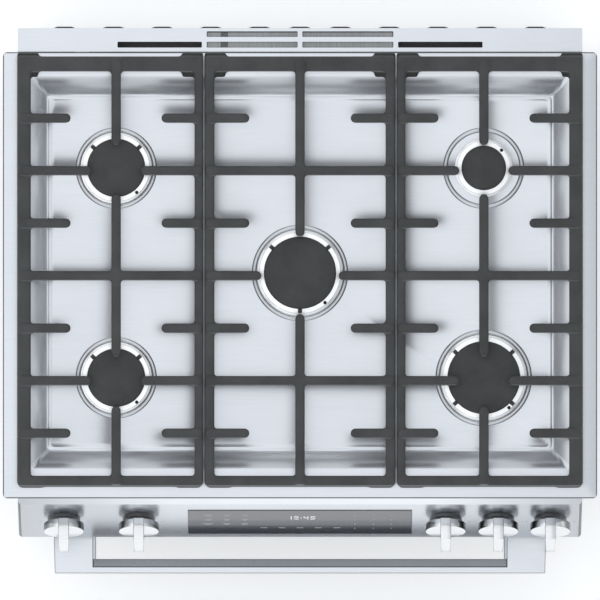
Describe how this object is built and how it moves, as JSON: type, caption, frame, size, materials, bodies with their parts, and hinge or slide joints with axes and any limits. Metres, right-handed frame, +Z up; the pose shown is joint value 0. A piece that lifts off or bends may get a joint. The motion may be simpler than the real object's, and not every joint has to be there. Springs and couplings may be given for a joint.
{
  "type": "freestanding gas range",
  "caption": "Freestanding gas range with an overlapping steel cooktop, cast-iron grates, sloping knob panel, drop-down oven door and storage drawer.",
  "frame": {"origin": "on the floor, under the middle of the overall box", "axes": "+Z up; -Y the front, where the doors and knobs are; +X to the right of someone facing the front"},
  "size_m": [0.8, 0.736, 0.945],
  "materials": {
    "brushed_steel": "brushed",
    "cast_iron": "matte enamel",
    "cap_enamel": "matte enamel",
    "head_aluminium": "machined",
    "galvanised": "zinc coated",
    "dark_enamel": "speckled enamel",
    "black_paint": "satin",
    "display_glass": "gloss",
    "window_glass": "gloss",
    "knob_steel": "satin",
    "bezel": "gloss",
    "rubber": "matte",
    "wire_chrome": "bright",
    "fibre": "felted",
    "gasket": "woven",
    "brass": "machined",
    "aluminium": "drawn",
    "ceramic": "glazed",
    "zinc": "plated",
    "plastic": "moulded"
  },
  "bodies": {
    "range_body": {"base_frame": "black_paint", "burner_bowls": "aluminium", "burner_heads": "head_aluminium", "control_panel": "brushed_steel", "cooktop": "brushed_steel", "display_glass": "display_glass", "door_gasket": "gasket", "drawer_slides": "zinc", "fan_baffle": "dark_enamel", "fan_motor": "black_paint", "flue_duct": "galvanised", "front_frame": "dark_enamel", "gas_pipework": "aluminium", "gas_regulator": "zinc", "gas_valves": "brass", "hinge_receivers": "zinc", "igniters": "ceramic", "knob_bezels": "bezel", "left_side_panel": "brushed_steel", "levelling_legs": "zinc", "oven_burners": "galvanised", "oven_floor_panel": "dark_enamel", "oven_insulation": "fibre", "oven_liner": "dark_enamel", "rack_ladders": "wire_chrome", "rear_panel": "galvanised", "rear_screws": "zinc", "rear_vent_trim": "brushed_steel", "right_side_panel": "brushed_steel", "spacer_tabs": "rubber", "terminal_block": "plastic"},
    "oven_door": {"door_skin": "brushed_steel", "door_liner": "dark_enamel", "door_glass": "window_glass", "door_handle": "brushed_steel", "door_hinges": "zinc"},
    "storage_drawer": {"drawer_front": "brushed_steel", "drawer_box": "galvanised", "drawer_handle": "brushed_steel"},
    "lower_oven_rack": {"lower_rack": "wire_chrome"},
    "upper_oven_rack": {"upper_rack": "wire_chrome"},
    "fan_wheel": {"convection_fan": "aluminium"},
    "left_grate_body": {"left_grate": "cast_iron"},
    "centre_grate_body": {"centre_grate": "cast_iron"},
    "right_grate_body": {"right_grate": "cast_iron"},
    "left_rear_cap_body": {"left_rear_cap": "cap_enamel"},
    "left_rear_plug_body": {"left_rear_valve_plug": "brass"},
    "left_rear_knob_body": {"left_rear_knob": "knob_steel"},
    "left_front_cap_body": {"left_front_cap": "cap_enamel"},
    "left_front_plug_body": {"left_front_valve_plug": "brass"},
    "left_front_knob_body": {"left_front_knob": "knob_steel"},
    "centre_cap_body": {"centre_cap": "cap_enamel"},
    "centre_plug_body": {"centre_valve_plug": "brass"},
    "centre_knob_body": {"centre_knob": "knob_steel"},
    "right_rear_cap_body": {"right_rear_cap": "cap_enamel"},
    "right_rear_plug_body": {"right_rear_valve_plug": "brass"},
    "right_rear_knob_body": {"right_rear_knob": "knob_steel"},
    "right_front_cap_body": {"right_front_cap": "cap_enamel"},
    "right_front_plug_body": {"right_front_valve_plug": "brass"},
    "right_front_knob_body": {"right_front_knob": "knob_steel"}
  },
  "joints": [
    {"name": "oven_door_hinge", "type": "hinge", "parent": "range_body", "child": "oven_door", "pos_m": [0, -0.286, 0.295], "axis": [1, 0, 0], "range_deg": [0, 90], "stiffness_Nm_per_rad": 9, "springref_deg": -20.05},
    {"name": "drawer_slide", "type": "slide", "parent": "range_body", "child": "storage_drawer", "axis": [0, -1, 0], "range_m": [0, 0.3]},
    {"name": "lower_rack_slide", "type": "slide", "parent": "range_body", "child": "lower_oven_rack", "axis": [0, -1, 0], "range_m": [0, 0.025]},
    {"name": "upper_rack_slide", "type": "slide", "parent": "range_body", "child": "upper_oven_rack", "axis": [0, -1, 0], "range_m": [0, 0.025]},
    {"name": "convection_fan_spin", "type": "hinge", "parent": "range_body", "child": "fan_wheel", "pos_m": [0, 0.211, 0.52], "axis": [0, 1, 0], "continuous": true},
    {"name": "left_grate_lift", "type": "slide", "parent": "range_body", "child": "left_grate_body", "axis": [0, 0, 1], "range_m": [0, 0.15]},
    {"name": "centre_grate_lift", "type": "slide", "parent": "range_body", "child": "centre_grate_body", "axis": [0, 0, 1], "range_m": [0, 0.15]},
    {"name": "right_grate_lift", "type": "slide", "parent": "range_body", "child": "right_grate_body", "axis": [0, 0, 1], "range_m": [0, 0.15]},
    {"name": "left_rear_cap_lift", "type": "slide", "parent": "range_body", "child": "left_rear_cap_body", "axis": [0, 0, 1], "range_m": [0, 0.005]},
    {"name": "left_rear_knob_turn", "type": "hinge", "parent": "range_body", "child": "left_rear_plug_body", "pos_m": [-0.2174, -0.29476, 0.84046], "axis": [0, -0.9578, 0.2874], "range_deg": [0, 225]},
    {"name": "left_rear_knob_push", "type": "slide", "parent": "left_rear_plug_body", "child": "left_rear_knob_body", "axis": [0, 0.9578, -0.2874], "range_m": [0, 0.0035], "stiffness_N_per_m": 600, "springref_m": -0.002},
    {"name": "left_front_cap_lift", "type": "slide", "parent": "range_body", "child": "left_front_cap_body", "axis": [0, 0, 1], "range_m": [0, 0.005]},
    {"name": "left_front_knob_turn", "type": "hinge", "parent": "range_body", "child": "left_front_plug_body", "pos_m": [-0.3185, -0.29476, 0.84046], "axis": [0, -0.9578, 0.2874], "range_deg": [0, 225]},
    {"name": "left_front_knob_push", "type": "slide", "parent": "left_front_plug_body", "child": "left_front_knob_body", "axis": [0, 0.9578, -0.2874], "range_m": [0, 0.0035], "stiffness_N_per_m": 600, "springref_m": -0.002},
    {"name": "centre_cap_lift", "type": "slide", "parent": "range_body", "child": "centre_cap_body", "axis": [0, 0, 1], "range_m": [0, 0.005]},
    {"name": "centre_knob_turn", "type": "hinge", "parent": "range_body", "child": "centre_plug_body", "pos_m": [0.1965, -0.29476, 0.84046], "axis": [0, -0.9578, 0.2874], "range_deg": [0, 225]},
    {"name": "centre_knob_push", "type": "slide", "parent": "centre_plug_body", "child": "centre_knob_body", "axis": [0, 0.9578, -0.2874], "range_m": [0, 0.0035], "stiffness_N_per_m": 600, "springref_m": -0.002},
    {"name": "right_rear_cap_lift", "type": "slide", "parent": "range_body", "child": "right_rear_cap_body", "axis": [0, 0, 1], "range_m": [0, 0.005]},
    {"name": "right_rear_knob_turn", "type": "hinge", "parent": "range_body", "child": "right_rear_plug_body", "pos_m": [0.2675, -0.29476, 0.84046], "axis": [0, -0.9578, 0.2874], "range_deg": [0, 225]},
    {"name": "right_rear_knob_push", "type": "slide", "parent": "right_rear_plug_body", "child": "right_rear_knob_body", "axis": [0, 0.9578, -0.2874], "range_m": [0, 0.0035], "stiffness_N_per_m": 600, "springref_m": -0.002},
    {"name": "right_front_cap_lift", "type": "slide", "parent": "range_body", "child": "right_front_cap_body", "axis": [0, 0, 1], "range_m": [0, 0.005]},
    {"name": "right_front_knob_turn", "type": "hinge", "parent": "range_body", "child": "right_front_plug_body", "pos_m": [0.3377, -0.29476, 0.84046], "axis": [0, -0.9578, 0.2874], "range_deg": [0, 225]},
    {"name": "right_front_knob_push", "type": "slide", "parent": "right_front_plug_body", "child": "right_front_knob_body", "axis": [0, 0.9578, -0.2874], "range_m": [0, 0.0035], "stiffness_N_per_m": 600, "springref_m": -0.002}
  ]
}
